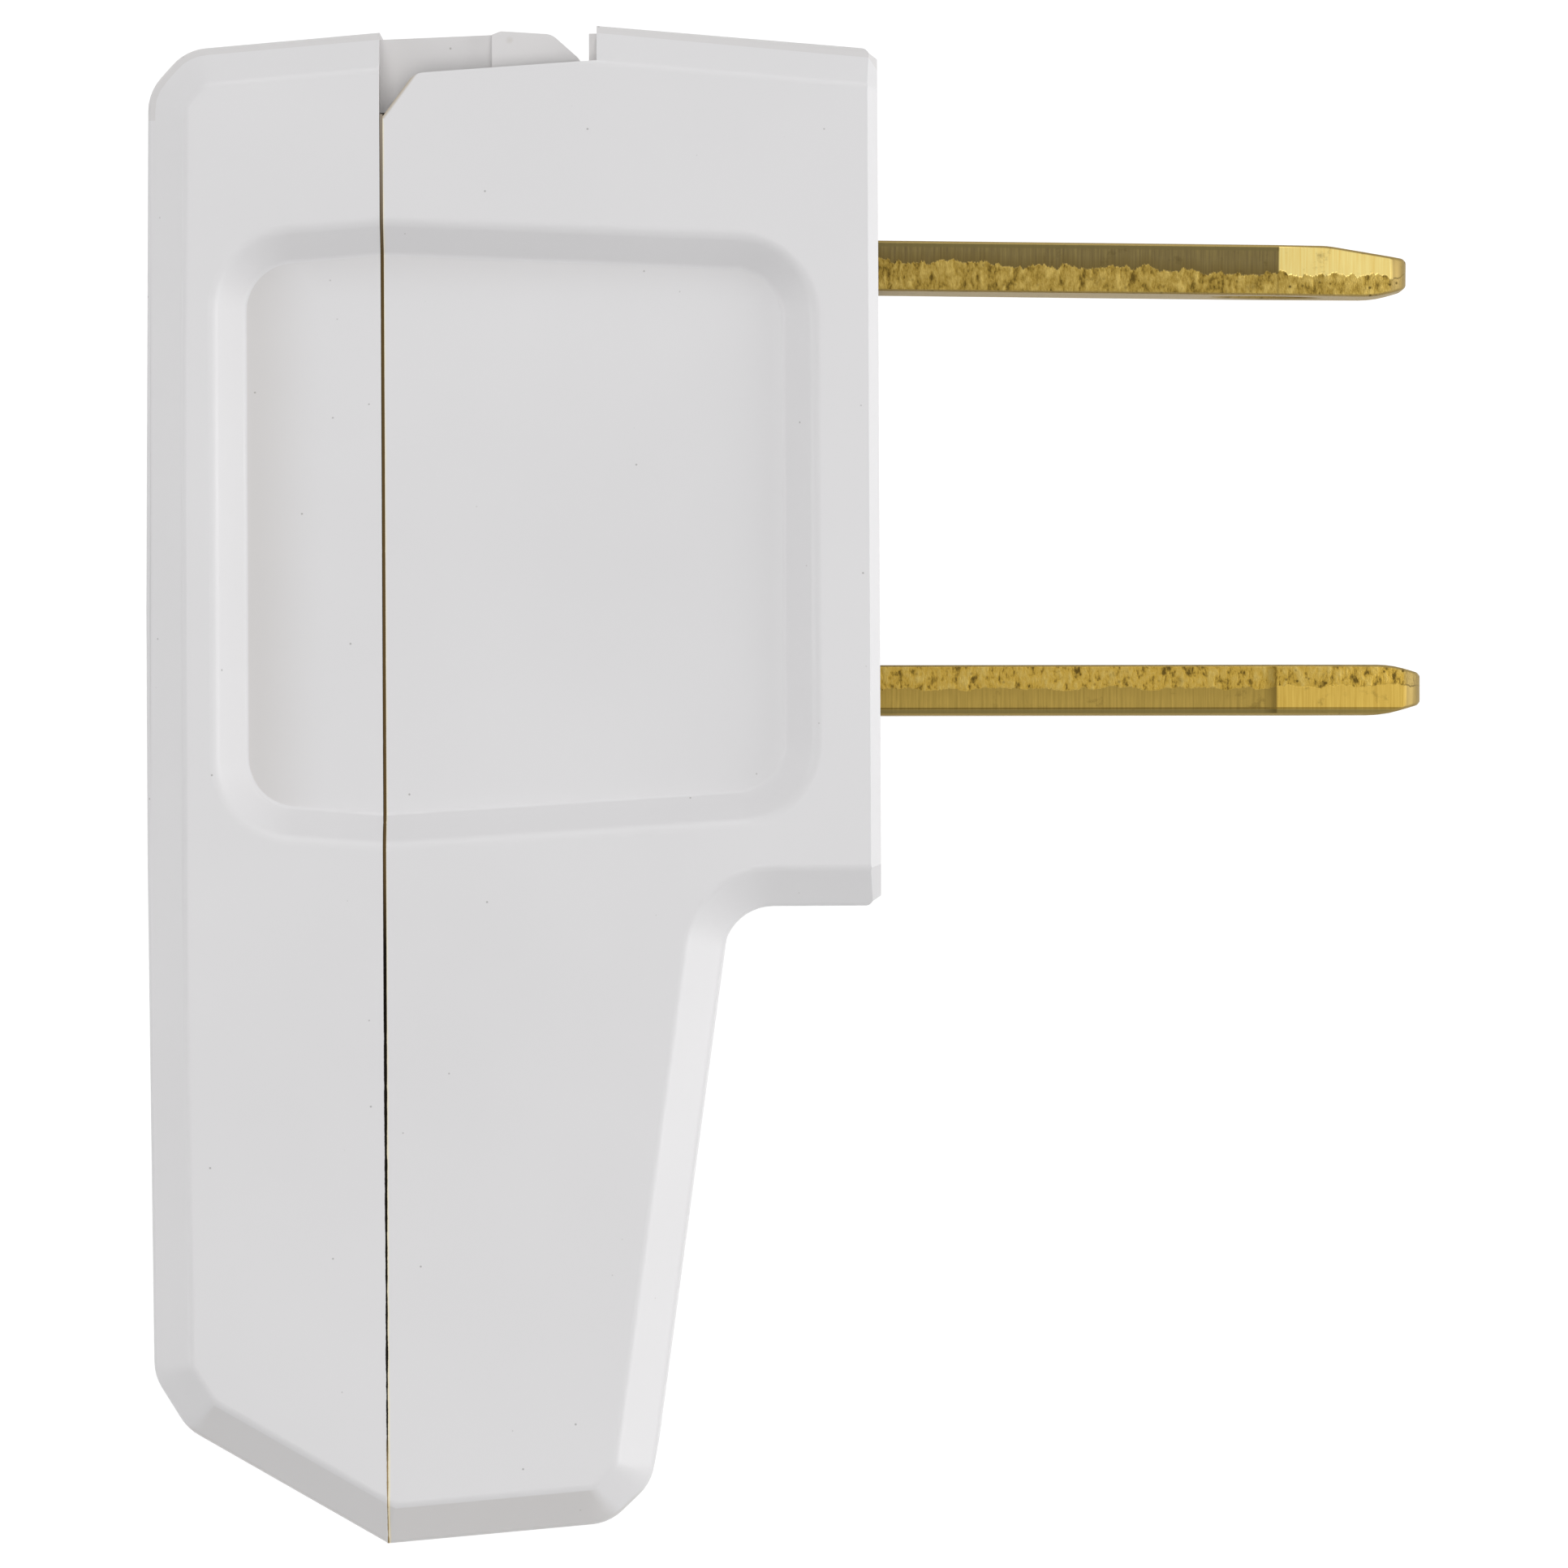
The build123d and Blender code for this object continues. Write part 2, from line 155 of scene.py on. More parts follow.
# Strength of the painted shade on the tongue, by the recess's back and top walls and at the cord end, and
# how far it reaches from those walls
TONGUE_SHADE = 0.14
BACK_SHADE = 0.22
TOP_SHADE = 0.08
END_SHADE = 0.22
BACK_REACH = 2.5 * MM
TOP_REACH = 1.5 * MM
# Colours of the dirt along the seam, the darkest also painted shade in the gap, from the cord end to the
# hooked end, and where each is, in millimetres
SEAM_COLOURS = (
    (-29.5, "seam_dust"),
    (-28.5, "seam_dirt_and_shade"),
    (-14.0, "seam_dirt_and_shade"),
    (-11.5, "seam_brown"),
    (6.5, "seam_brown"),
    (11.5, "lint_and_shade"),
)
# Small stains on the plastic: place and reach in millimetres, and strength
STAINS = (
    ((-10.92, 12.95, 11.4), 0.32, 0.3),
    ((-0.36, 12.5, 12.2), 0.4, 0.55),
    ((-6.76, -29.65, 11.9), 0.45, 0.5),
)


def linear(hex_colour):
    """An sRGB hex colour as linear red, green, blue and alpha."""
    channels = [int(hex_colour[i : i + 2], 16) / 255 for i in (1, 3, 5)]
    return tuple(c / 12.92 if c <= 0.04045 else ((c + 0.055) / 1.055) ** 2.4 for c in channels) + (1.0,)


def per_mm(size):
    """Texture scale, per metre, of a pattern whose cells are that many millimetres wide."""
    return 1 / (size * MM)


def colour_property(name, description, hex_colour):
    """A colour to choose, given as sRGB hex."""
    return FloatVectorProperty(
        name=name, description=description, subtype="COLOR", size=4, min=0, max=1, default=linear(hex_colour)
    )


def length_property(name, description, millimetres):
    """A length to choose, given in millimetres."""
    return FloatProperty(name=name, description=description, unit="LENGTH", default=millimetres * MM)


def power_property(name, description, watts):
    """A light's power to choose."""
    return FloatProperty(name=name, description=description, unit="POWER", default=watts, min=0)


class PlugFinish(bpy.types.PropertyGroup):
    """Colours and small sizes of the plug's finishes."""

    plastic: colour_property("Plastic", "Moulded white plastic of both halves", "#E2E1E2")
    plastic_shade: colour_property("Plastic shade", "Greyer flow patches in the plastic", "#DDDCDD")
    speck: colour_property("Speck", "Dark grains moulded into the plastic", "#8D8A88")
    # Also the painted shade in the gap and the painted shadow beside the cover
    seam_dirt_and_shade: colour_property("Seam dirt", "Nearly black dirt in the seam", "#15110B")
    seam_brown: colour_property("Seam brown", "Brown dirt in the seam across the recess", "#5C492B")
    seam_dust: colour_property("Seam dust", "Tan dust at the cord end and on the ears", "#9C8760")
    # Also the colour of the painted shade on the tongue, the recess floor and the cord end
    lint_and_shade: colour_property("Seam lint", "Grey lint at the hooked end, and grime", "#A1978A")
    # Yellowing and a painted highlight along the front half's edge at the seam
    seam_yellow_and_highlight: colour_property("Seam edge", "Yellowed edge of the front half along the seam", "#F2E7C8")
    stain: colour_property("Stain", "Brownish stains on the plastic", "#9A8A6C")
    upper_burnished: colour_property("Upper burnish", "Burnished band on the upper blade's edge", "#736442")
    upper_streak: colour_property("Upper streaks", "Shear marks in that band", "#92814F")
    upper_torn: colour_property("Upper torn brass", "Torn band on the upper blade's edge", "#A3883E")
    # The tip colours are pressed brass with a painted highlight
    upper_tip: colour_property("Upper tip", "Bright pressed band at the upper blade's tip", "#F0D077")
    upper_tip_streak: colour_property("Upper tip streaks", "Brightest streaks there", "#FCEB9C")
    lower_burnished: colour_property("Lower burnish", "Burnished band on the lower blade's edge", "#A58B44")
    lower_streak: colour_property("Lower streaks", "Shear marks in that band", "#C3A453")
    lower_torn: colour_property("Lower torn brass", "Torn band on the lower blade's edge", "#BD9C43")
    # The tip colours are pressed brass with a painted highlight
    lower_tip: colour_property("Lower tip", "Bright pressed band at the lower blade's tip", "#CDA84B")
    lower_tip_streak: colour_property("Lower tip streaks", "Brightest streaks there", "#ECC965")
    # Painted shade, in the torn band's hollows and on the burnished band beside the ragged line
    brass_shade: colour_property("Torn hollows", "Hollows of the torn band on a blade's edge", "#665222")
    # Painted highlight on the torn band's ridges
    torn_highlight: colour_property("Torn ridges", "Bright ridges of the torn band", "#C9AF61")
    rolled: colour_property("Rolled brass", "Flat faces of the blades", "#8A7748")
    rolled_bright: colour_property("Rolling marks", "Brighter lines along the flat faces", "#A69058")
    rollover: colour_property("Rolled edge", "Dull rounded rim beside the burnished band", "#7C6F45")
    # Also the colour of the painted shade before each blade's tip
    tarnish_and_shade: colour_property("Tarnish", "Brown spots and lines on the brass", "#473716")
    terminal_brass: colour_property("Terminal brass", "Stamped clamps", "#A08A45")
    terminal_bright: colour_property("Terminal bright", "Cleaner patches on the clamps", "#C2AE66")
    zinc: colour_property("Zinc plate", "Bright plating of the screws", "#C9C8C2")
    zinc_shade: colour_property("Zinc shade", "Duller patches in the plating", "#A3A29A")
    blade_edge: length_property("Blade edge", "Rounding of the blades' edges", 0.09)
    screw_edge: length_property("Screw edge", "Rounding of the cover screw's edges", 0.08)
    dust_thickness: length_property("Dust thickness", "How deep the dust in the seam reaches", 0.04)
    bevel_edge: length_property("Bevel edge", "Rounding of the bevels' outer edges", 0.14)


class PlugStage(bpy.types.PropertyGroup):
    """Light, floor and camera."""

    floor: colour_property("Floor", "Plain pale floor", "#FFFFFF")
    world_level: FloatProperty(name="World", description="Even light from all round", default=0.27, min=0)
    top_power: power_property("Top light", "Soft box overhead", 1.85)
    right_power: power_property("Right light", "Soft box on the blades' side", 2.2)
    left_power: power_property("Left light", "Soft box on the cover's side", 0.98)
    far_power: power_property("Far light", "Soft box beyond the hooked end", 1.25)
    near_power: power_property("Near light", "Soft box before the cord end", 0.5)
    lens: FloatProperty(name="Lens", description="Focal length", unit="CAMERA", default=463.0)
    roll: FloatProperty(
        name="Roll", description="Turn of the camera about its view", subtype="ANGLE", default=-0.0049
    )


def add_node(tree, kind, inputs=None, **settings):
    """Adds a node: settings are its own; each input, by name or number, gets a value or a node's output."""
    node = tree.nodes.new(kind)
    for name, value in settings.items():
        setattr(node, name, value)
    for name, value in (inputs or {}).items():
        if isinstance(value, bpy.types.NodeSocket):
            tree.links.new(value, node.inputs[name])
        else:
            node.inputs[name].default_value = value
    return node


def calculate(tree, operation, *terms):
    """The outcome of an operation on numbers and outputs."""
    return add_node(tree, "ShaderNodeMath", dict(enumerate(terms)), operation=operation).outputs[0]


def combine_vectors(tree, operation, first, second):
    """The outputs of an operation on two vectors."""
    return add_node(tree, "ShaderNodeVectorMath", {0: first, 1: second}, operation=operation).outputs


def rescale(tree, value, start, end, low=0.0, high=1.0, curve="LINEAR"):
    """The value moved from the range start to end into the range low to high, and held inside it."""
    inputs = {"Value": value, "From Min": start, "From Max": end, "To Min": low, "To Max": high}
    return add_node(tree, "ShaderNodeMapRange", inputs, interpolation_type=curve).outputs["Result"]


def switch(tree, share, first, second):
    """A number that goes from the first to the second as the share goes from 0 to 1."""
    return add_node(tree, "ShaderNodeMix", {0: share, 2: first, 3: second}).outputs[0]


def blend(tree, share, first, second):
    """The first colour with a share of the second in it."""
    return add_node(tree, "ShaderNodeMix", {0: share, 6: first, 7: second}, data_type="RGBA").outputs[2]


def colour_ramp(tree, value, stops):
    """Colours at rising values, blended between them."""
    node = add_node(tree, "ShaderNodeValToRGB", {"Fac": value})
    elements = node.color_ramp.elements
    for element, (position, colour) in zip(elements, (stops[0], stops[-1])):
        element.position = position
        element.color = colour
    for position, colour in stops[1:-1]:
        elements.new(position).color = colour
    return node.outputs["Color"]


def noise(tree, place, scale, detail, roughness=0.5):
    """Cloudy pattern at a place."""
    inputs = {"Vector": place, "Scale": scale, "Detail": detail, "Roughness": roughness}
    return add_node(tree, "ShaderNodeTexNoise", inputs).outputs["Fac"]


def stretched_noise(tree, place, sizes, detail, roughness=0.5):
    """Cloudy pattern whose patches have those three sizes, in the units of the place."""
    scale = [1 / size for size in sizes]
    stretched = add_node(tree, "ShaderNodeMapping", {"Vector": place, "Scale": scale})
    return noise(tree, stretched.outputs["Vector"], 1.0, detail, roughness)


def cell_distance(tree, place, scale):
    """Distance from the middle of the nearest of many scattered cells, in cells."""
    return add_node(tree, "ShaderNodeTexVoronoi", {"Vector": place, "Scale": scale}).outputs["Distance"]


def separate(tree, vector):
    """The three parts of a vector."""
    return add_node(tree, "ShaderNodeSeparateXYZ", {"Vector": vector}).outputs


def empty_tree(owner):
    """The node tree of a material or world, with no nodes in it."""
    owner.use_nodes = True
    owner.node_tree.nodes.clear()
    return owner.node_tree


def new_material(name):
    """A material with only its shader and its output."""
    material = bpy.data.materials.new(name)
    tree = empty_tree(material)
    shader = add_node(tree, "ShaderNodeBsdfPrincipled")
    add_node(tree, "ShaderNodeOutputMaterial", {"Surface": shader.outputs["BSDF"]})
    return material, tree, shader


def add_relief(tree, shader, height, strength, distance):
    """Gives the shader fine relief from a pattern."""
    inputs = {"Height": height, "Strength": strength, "Distance": distance}
    bump = add_node(tree, "ShaderNodeBump", inputs)
    tree.links.new(bump.outputs["Normal"], shader.inputs["Normal"])


def white_plastic(finish):
    """Injection-moulded ABS: a satin white skin with faint flow patches, a few dark grains and stains,
    yellowing with a painted highlight along the seam, and painted shade on the tongue, by two walls of
    the recess and at the cord end."""
    material, tree, shader = new_material("white_moulded_abs")
    shader.inputs["IOR"].default_value = 1.53
    coordinates = add_node(tree, "ShaderNodeTexCoord")
    place = coordinates.outputs["Object"]
    x, y, z = separate(tree, place)
    _, normal_y, normal_z = separate(tree, coordinates.outputs["Normal"])

    # Flow patches about 9 mm across
    flow = noise(tree, place, per_mm(9), 3.0)
    colour = blend(tree, flow, finish.plastic, finish.plastic_shade)

    # Dark grains 0.08 mm across, about 1.1 mm apart through the plastic
    grain_spacing = 1.1
    from_grain = cell_distance(tree, place, per_mm(grain_spacing))
    grains = rescale(tree, from_grain, 0.042 / grain_spacing, 0.015 / grain_spacing, high=0.7)
    colour = blend(tree, grains, colour, finish.speck)

    # Yellowed edge of the front half with a painted highlight, within 0.12 mm of the seam's middle and patchy
    # along it
    past_seam = calculate(tree, "SUBTRACT", x, SEAM_X)
    patches = noise(tree, place, per_mm(1.4), 4.0, 0.65)
    tint_reach = rescale(tree, patches, 0.35, 0.7, 0.07 * MM, 0.12 * MM)
    yellow_and_highlight = rescale(tree, past_seam, SEAM_GAP / 2, tint_reach, 0.9, 0.0)
    on_front = calculate(tree, "GREATER_THAN", past_seam, 0.0)
    below_notch = calculate(tree, "LESS_THAN", y, SEAM_TOP)
    on_lip = calculate(tree, "MULTIPLY", on_front, below_notch)
    yellow_and_highlight = calculate(tree, "MULTIPLY", yellow_and_highlight, on_lip)
    colour = blend(tree, yellow_and_highlight, colour, finish.seam_yellow_and_highlight)

    # Tan line along the slanted edge of the near ear, within 0.1 mm of it
    corner = Vector((SEAM_X, EAR_CORNER, 0))
    across_edge = Vector((-math.sin(EAR_SLOPE), math.cos(EAR_SLOPE), 0))
    from_corner = combine_vectors(tree, "SUBTRACT", place, corner)["Vector"]
    past_ear = combine_vectors(tree, "DOT_PRODUCT", from_corner, across_edge)["Value"]
    ear_line = rescale(tree, past_ear, -0.1 * MM, -0.02 * MM, high=0.7)
    near_side = calculate(tree, "GREATER_THAN", z, EAR_INSIDE)
    on_ear = calculate(tree, "MULTIPLY", near_side, on_front)
    above_seam = calculate(tree, "GREATER_THAN", y, EAR_CORNER)
    on_slant = calculate(tree, "MULTIPLY", on_ear, above_seam)
    ear_line = calculate(tree, "MULTIPLY", ear_line, on_slant)
    colour = blend(tree, ear_line, colour, finish.seam_dust)

    # Stains with broken edges
    for middle, reach, strength in STAINS:
        away = combine_vectors(tree, "DISTANCE", place, Vector(middle) * MM)["Value"]
        broken = calculate(tree, "MULTIPLY_ADD", patches, reach * MM, away)
        stain = rescale(tree, broken, reach * MM, 0.5 * reach * MM, high=strength)
        colour = blend(tree, stain, colour, finish.stain)

    # Painted shade on the tongue, which lies below the ears' inner faces
    height = calculate(tree, "ABSOLUTE", z)
    below_ears = calculate(tree, "LESS_THAN", height, EAR_INSIDE)
    on_tongue = calculate(tree, "MULTIPLY", below_ears, above_seam)
    painted_shade = calculate(tree, "MULTIPLY", on_tongue, TONGUE_SHADE)

    # Painted shade on the recess floor, fading away from the walls beside the cover's back and by the hooked
    # end
    back_wall_shade = rescale(tree, x, RECESS_BACK, RECESS_BACK + BACK_REACH, BACK_SHADE, 0.0, "SMOOTHSTEP")
    top_wall_shade = rescale(tree, y, RECESS_TOP, RECESS_TOP - TOP_REACH, TOP_SHADE, 0.0, "SMOOTHSTEP")
    floor_shade = calculate(tree, "MAXIMUM", back_wall_shade, top_wall_shade)
    at_floor = calculate(tree, "COMPARE", height, RECESS_FLOOR, 0.06 * MM)
    facing = calculate(tree, "ABSOLUTE", normal_z)
    is_flat = calculate(tree, "GREATER_THAN", facing, 0.99)
    on_floor = calculate(tree, "MULTIPLY", at_floor, is_flat)
    painted_shade = calculate(tree, "MULTIPLY_ADD", floor_shade, on_floor, painted_shade)

    # Painted shade at the cord end, on what faces away from the hooked end
    end_face_shade = rescale(tree, normal_y, -0.53, -0.67, high=END_SHADE)
    at_end = calculate(tree, "LESS_THAN", y, CORD_END)
    painted_shade = calculate(tree, "MULTIPLY_ADD", end_face_shade, at_end, painted_shade)
    colour = blend(tree, painted_shade, colour, finish.lint_and_shade)
    tree.links.new(colour, shader.inputs["Base Color"])

    # Satin sheen that varies with the flow, and a moulded grain 0.35 mm across
    roughness = rescale(tree, flow, 0.3, 0.7, 0.38, 0.47)
    tree.links.new(roughness, shader.inputs["Roughness"])
    skin_grain = noise(tree, place, per_mm(0.35), 2.0)
    add_relief(tree, shader, skin_grain, 0.4, 0.006 * MM)
    return material


def sheared_brass(finish, name, blade):
    """Brass strip sheared to width: each narrow edge has a smooth burnished band with shear marks and a
    bright torn one with painted shade in its hollows and a painted highlight on its ridges, with a ragged line
    between, and is pressed bright at the tip with a painted highlight; the flat faces keep rolling marks."""
    material, tree, shader = new_material(name + "_sheared_brass")
    shader.inputs["Metallic"].default_value = 1.0
    row = name.split("_")[0]
    turn = math.radians(blade["droop"])
    coordinates = add_node(tree, "ShaderNodeTexCoord")
    # Millimetres along the blade, across its thickness and across its width
    place = add_node(
        tree,
        "ShaderNodeMapping",
        {
            "Vector": coordinates.outputs["Object"],
            "Location": (blade["height"] * math.sin(turn), -blade["height"] * math.cos(turn), 0),
            "Rotation": (0, 0, turn),
            "Scale": (1 / MM, 1 / MM, 1 / MM),
        },
    ).outputs["Vector"]
    along, across, _ = separate(tree, place)
    outward = calculate(tree, "MULTIPLY", across, blade["outward"])
    tip_start = blade["tip_start"]
    at_tip = rescale(tree, along, tip_start - 0.03, tip_start + 0.03)

    # Ragged line: tears 0.6 mm wide with finer teeth
    run = add_node(tree, "ShaderNodeCombineXYZ", {"X": along, "Y": blade["height"]}).outputs["Vector"]
    tears = noise(tree, run, 1 / 0.6, 4.0, 0.65)
    tear_depth = rescale(tree, tears, 0.3, 0.7, -blade["ragged"], blade["ragged"])
    drift = calculate(tree, "MULTIPLY_ADD", along, blade["line_slope"], blade["line"])
    line = switch(tree, at_tip, drift, TIP_LINE)
    ragged_line = calculate(tree, "ADD", line, tear_depth)
    past_line = calculate(tree, "SUBTRACT", outward, ragged_line)
    torn = rescale(tree, past_line, 0.04, -0.02, curve="SMOOTHSTEP")

    # Torn band: ridges 0.2 mm wide that run across the thickness, with finer grain, painted shade in the
    # hollows and a painted highlight on the ridges
    ridges = stretched_noise(tree, place, (0.2, 0.42, 0.42), 5.0, 0.62)
    torn_stops = (
        (0.34, finish.brass_shade),
        (0.46, getattr(finish, row + "_torn")),
        (0.68, finish.torn_highlight),
    )
    torn_colour = colour_ramp(tree, ridges, torn_stops)

    # Burnished band: shear marks 0.07 mm apart run across the thickness; pressed brass with a painted highlight
    # at the tip
    strokes = stretched_noise(tree, place, (0.07, 2.2, 3.0), 3.0, 0.6)
    streaks = rescale(tree, strokes, 0.3, 0.75)
    burnished = blend(tree, streaks, getattr(finish, row + "_burnished"), getattr(finish, row + "_streak"))
    # Painted shade on the burnished band beside the ragged line
    line_shade = rescale(tree, past_line, 0.4, 0.0, high=blade["line_shade"])
    shaded = blend(tree, line_shade, burnished, finish.brass_shade)
    pressed_and_lit = blend(tree, streaks, getattr(finish, row + "_tip"), getattr(finish, row + "_tip_streak"))
    smooth_colour = blend(tree, at_tip, shaded, pressed_and_lit)
    edge_colour = blend(tree, torn, smooth_colour, torn_colour)

    # Dull rim, 0.18 mm wide, where the shear rolled the outward corner over
    rim_strength = switch(tree, at_tip, 0.85, blade["tip_rim"])
    rim = rescale(tree, outward, 0.56, 0.6, high=rim_strength)
    edge_colour = blend(tree, rim, edge_colour, finish.rollover)

    # Flat faces: rolling marks 0.12 mm apart run along the blade
    rolling = stretched_noise(tree, place, (6.0, 0.5, 0.12), 4.0)
    flat_colour = blend(tree, rolling, finish.rolled, finish.rolled_bright)
    normal_z = separate(tree, coordinates.outputs["Normal"])["Z"]
    facing = calculate(tree, "ABSOLUTE", normal_z)
    on_edge = rescale(tree, facing, 0.88, 0.97)
    clean = blend(tree, on_edge, flat_colour, edge_colour)

    # Tarnish: cloudy spots, pits about 0.1 mm across in the torn band and a line by the rim, and painted shade
    # before the tip
    spots = noise(tree, place, 1 / 0.8, 6.0, 0.7)
    spots = rescale(tree, spots, 0.58, 0.74, high=0.55)
    pit_spacing = 0.3
    from_pit = cell_distance(tree, place, 1 / pit_spacing)
    pit_depth = rescale(tree, at_tip, 0.0, 1.0, 0.4, 0.85)
    pits = rescale(tree, from_pit, 0.06 / pit_spacing, 0.02 / pit_spacing, high=pit_depth)
    torn_pits = calculate(tree, "MULTIPLY", pits, torn)
    before_tip = rescale(tree, along, tip_start - blade["tip_shade"], tip_start, high=0.6)
    tip_shade = switch(tree, at_tip, before_tip, 0.0)
    rim_line = calculate(tree, "COMPARE", outward, 0.55, 0.025)
    rim_shade = calculate(tree, "MULTIPLY", rim_line, blade["rim_shade"])
    lines = calculate(tree, "MAXIMUM", tip_shade, rim_shade)
    edge_lines = calculate(tree, "MULTIPLY", lines, on_edge)
    tarnish_and_shade = calculate(tree, "MAXIMUM", spots, torn_pits)
    tarnish_and_shade = calculate(tree, "MAXIMUM", tarnish_and_shade, edge_lines)
    colour = blend(tree, tarnish_and_shade, clean, finish.tarnish_and_shade)
    tree.links.new(colour, shader.inputs["Base Color"])

    # The burnished band is smoother than the torn one and the flat faces
    smooth = calculate(tree, "SUBTRACT", 1.0, torn)
    smooth_edge = calculate(tree, "MULTIPLY", smooth, on_edge)
    roughness = rescale(tree, smooth_edge, 0.0, 1.0, 0.52, 0.32)
    tree.links.new(roughness, shader.inputs["Roughness"])
    torn_height = calculate(tree, "MULTIPLY", ridges, torn)
    height = calculate(tree, "MULTIPLY_ADD", strokes, 0.05, torn_height)
    add_relief(tree, shader, height, 0.7, 0.08 * MM)
    return material


def stamped_brass(finish):
    """Thin brass stamping: plain yellow metal with cleaner and duller patches."""
    material, tree, shader = new_material("stamped_brass")
    shader.inputs["Metallic"].default_value = 1.0
    place = add_node(tree, "ShaderNodeTexCoord").outputs["Object"]
    patches = noise(tree, place, per_mm(1.2), 4.0)
    colour = blend(tree, patches, finish.terminal_brass, finish.terminal_bright)
    tree.links.new(colour, shader.inputs["Base Color"])
    roughness = rescale(tree, patches, 0.0, 1.0, 0.25, 0.5)
    tree.links.new(roughness, shader.inputs["Roughness"])
    return material


def zinc_plate(finish):
    """Zinc-plated steel: bright grey metal with duller patches."""
    material, tree, shader = new_material("zinc_plated_steel")
    shader.inputs["Metallic"].default_value = 1.0
    place = add_node(tree, "ShaderNodeTexCoord").outputs["Object"]
    patches = noise(tree, place, per_mm(0.9), 5.0, 0.6)
    colour = blend(tree, patches, finish.zinc, finish.zinc_shade)
    tree.links.new(colour, shader.inputs["Base Color"])
    roughness = rescale(tree, patches, 0.0, 1.0, 0.22, 0.45)
    tree.links.new(roughness, shader.inputs["Roughness"])
    return material


def packed_dust(finish):
    """Dirt packed into the seam: a ragged dull line that thins out towards the cord end, tan at that end,
    black with dirt and painted shade below the recess, brown across it and grey with lint at the hooked end,
    with painted shadow beside the cover, between yellowed plastic with a painted highlight and white plastic."""
    material, tree, shader = new_material("packed_dust")
    shader.inputs["Roughness"].default_value = 0.9
    shader.inputs["Specular IOR Level"].default_value = 0.1
    place = add_node(tree, "ShaderNodeTexCoord").outputs["Object"]
    x, y, _ = separate(tree, place)
    past_seam = calculate(tree, "SUBTRACT", x, SEAM_X)
    crumbs = noise(tree, place, per_mm(0.8), 5.0, 0.7)

    # Colour along the seam, with painted shadow beside the cover
    bottom = SEAM_COLOURS[0][0]
    top = SEAM_COLOURS[-1][0]
    along = rescale(tree, y, bottom * MM, top * MM)
    stops = [((height - bottom) / (top - bottom), getattr(finish, name)) for height, name in SEAM_COLOURS]
    dirt = colour_ramp(tree, along, stops)
    shadow = rescale(tree, past_seam, -0.02 * MM, -0.045 * MM, high=0.7)
    shaded = blend(tree, shadow, dirt, finish.seam_dirt_and_shade)

    # Half the width of the dark line grows away from the cord end, and wanders within 0.03 mm
    thinning = rescale(tree, y, -31 * MM, -13 * MM, 0.016 * MM, 0.06 * MM)
    wander = rescale(tree, crumbs, 0.3, 0.7, -0.015 * MM, 0.015 * MM)
    reach = calculate(tree, "ADD", thinning, wander)
    from_middle = calculate(tree, "ABSOLUTE", past_seam)
    past_line = calculate(tree, "SUBTRACT", from_middle, reach)
    clean = rescale(tree, past_line, -0.004 * MM, 0.004 * MM)
    # Beside the dark line, the front half's edge is yellowed and has a painted highlight
    on_front = calculate(tree, "GREATER_THAN", past_seam, 0.0)
    edge = blend(tree, on_front, finish.plastic, finish.seam_yellow_and_highlight)
    colour = blend(tree, clean, shaded, edge)
    tree.links.new(colour, shader.inputs["Base Color"])
    add_relief(tree, shader, crumbs, 0.8, 0.04 * MM)
    return material


def white_floor(stage):
    """Plain matt floor that also glows where it is seen or reflected, so that it looks evenly white."""
    material = bpy.data.materials.new("white_floor")
    tree = empty_tree(material)
    rays = add_node(tree, "ShaderNodeLightPath").outputs
    seen = calculate(tree, "MAXIMUM", rays["Is Camera Ray"], rays["Is Glossy Ray"])
    seen = calculate(tree, "MAXIMUM", seen, rays["Is Transmission Ray"])
    share = calculate(tree, "MULTIPLY", seen, GLOW_SHARE)
    matt = add_node(tree, "ShaderNodeBsdfDiffuse", {"Color": stage.floor}).outputs["BSDF"]
    glow = add_node(tree, "ShaderNodeEmission", {"Color": stage.floor, "Strength": FLOOR_GLOW})
    mixed = add_node(tree, "ShaderNodeMixShader", {0: share, 1: matt, 2: glow.outputs["Emission"]})
    add_node(tree, "ShaderNodeOutputMaterial", {"Surface": mixed.outputs["Shader"]})
    return material


def studio_world(stage):
    """Even light from all round, brighter where it is seen or reflected."""
    world = bpy.data.worlds.new("studio")
    tree = empty_tree(world)
    rays = add_node(tree, "ShaderNodeLightPath").outputs
    seen = calculate(tree, "MAXIMUM", rays["Is Camera Ray"], rays["Is Glossy Ray"])
    level = rescale(tree, seen, 0.0, 1.0, stage.world_level, 1.0)
    light = add_node(tree, "ShaderNodeBackground", {"Strength": level}).outputs["Background"]
    add_node(tree, "ShaderNodeOutputWorld", {"Surface": light})
    return world


def give_material(piece, material):
    """Puts the material in the piece's only slot."""
    piece.data.materials.clear()
    piece.data.materials.append(material)


def merged_copy(node_name, piece_name):
    """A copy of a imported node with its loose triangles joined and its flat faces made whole, in edit mode."""
    bpy.ops.object.select_all(action="DESELECT")
    node = frame["nodes"][node_name]
    node.select_set(True)
    bpy.context.view_layer.objects.active = node
    bpy.ops.object.duplicate()
    piece = bpy.context.view_layer.objects.active
    piece.name = piece_name
    piece.data.name = piece_name
    del piece["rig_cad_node"]
    bpy.ops.object.mode_set(mode="EDIT")
    bpy.ops.mesh.select_all(action="SELECT")
    bpy.ops.mesh.customdata_custom_splitnormals_clear()
    bpy.ops.mesh.remove_doubles(threshold=MERGE)
    bpy.ops.mesh.dissolve_limited(angle_limit=math.radians(0.5))
    return piece


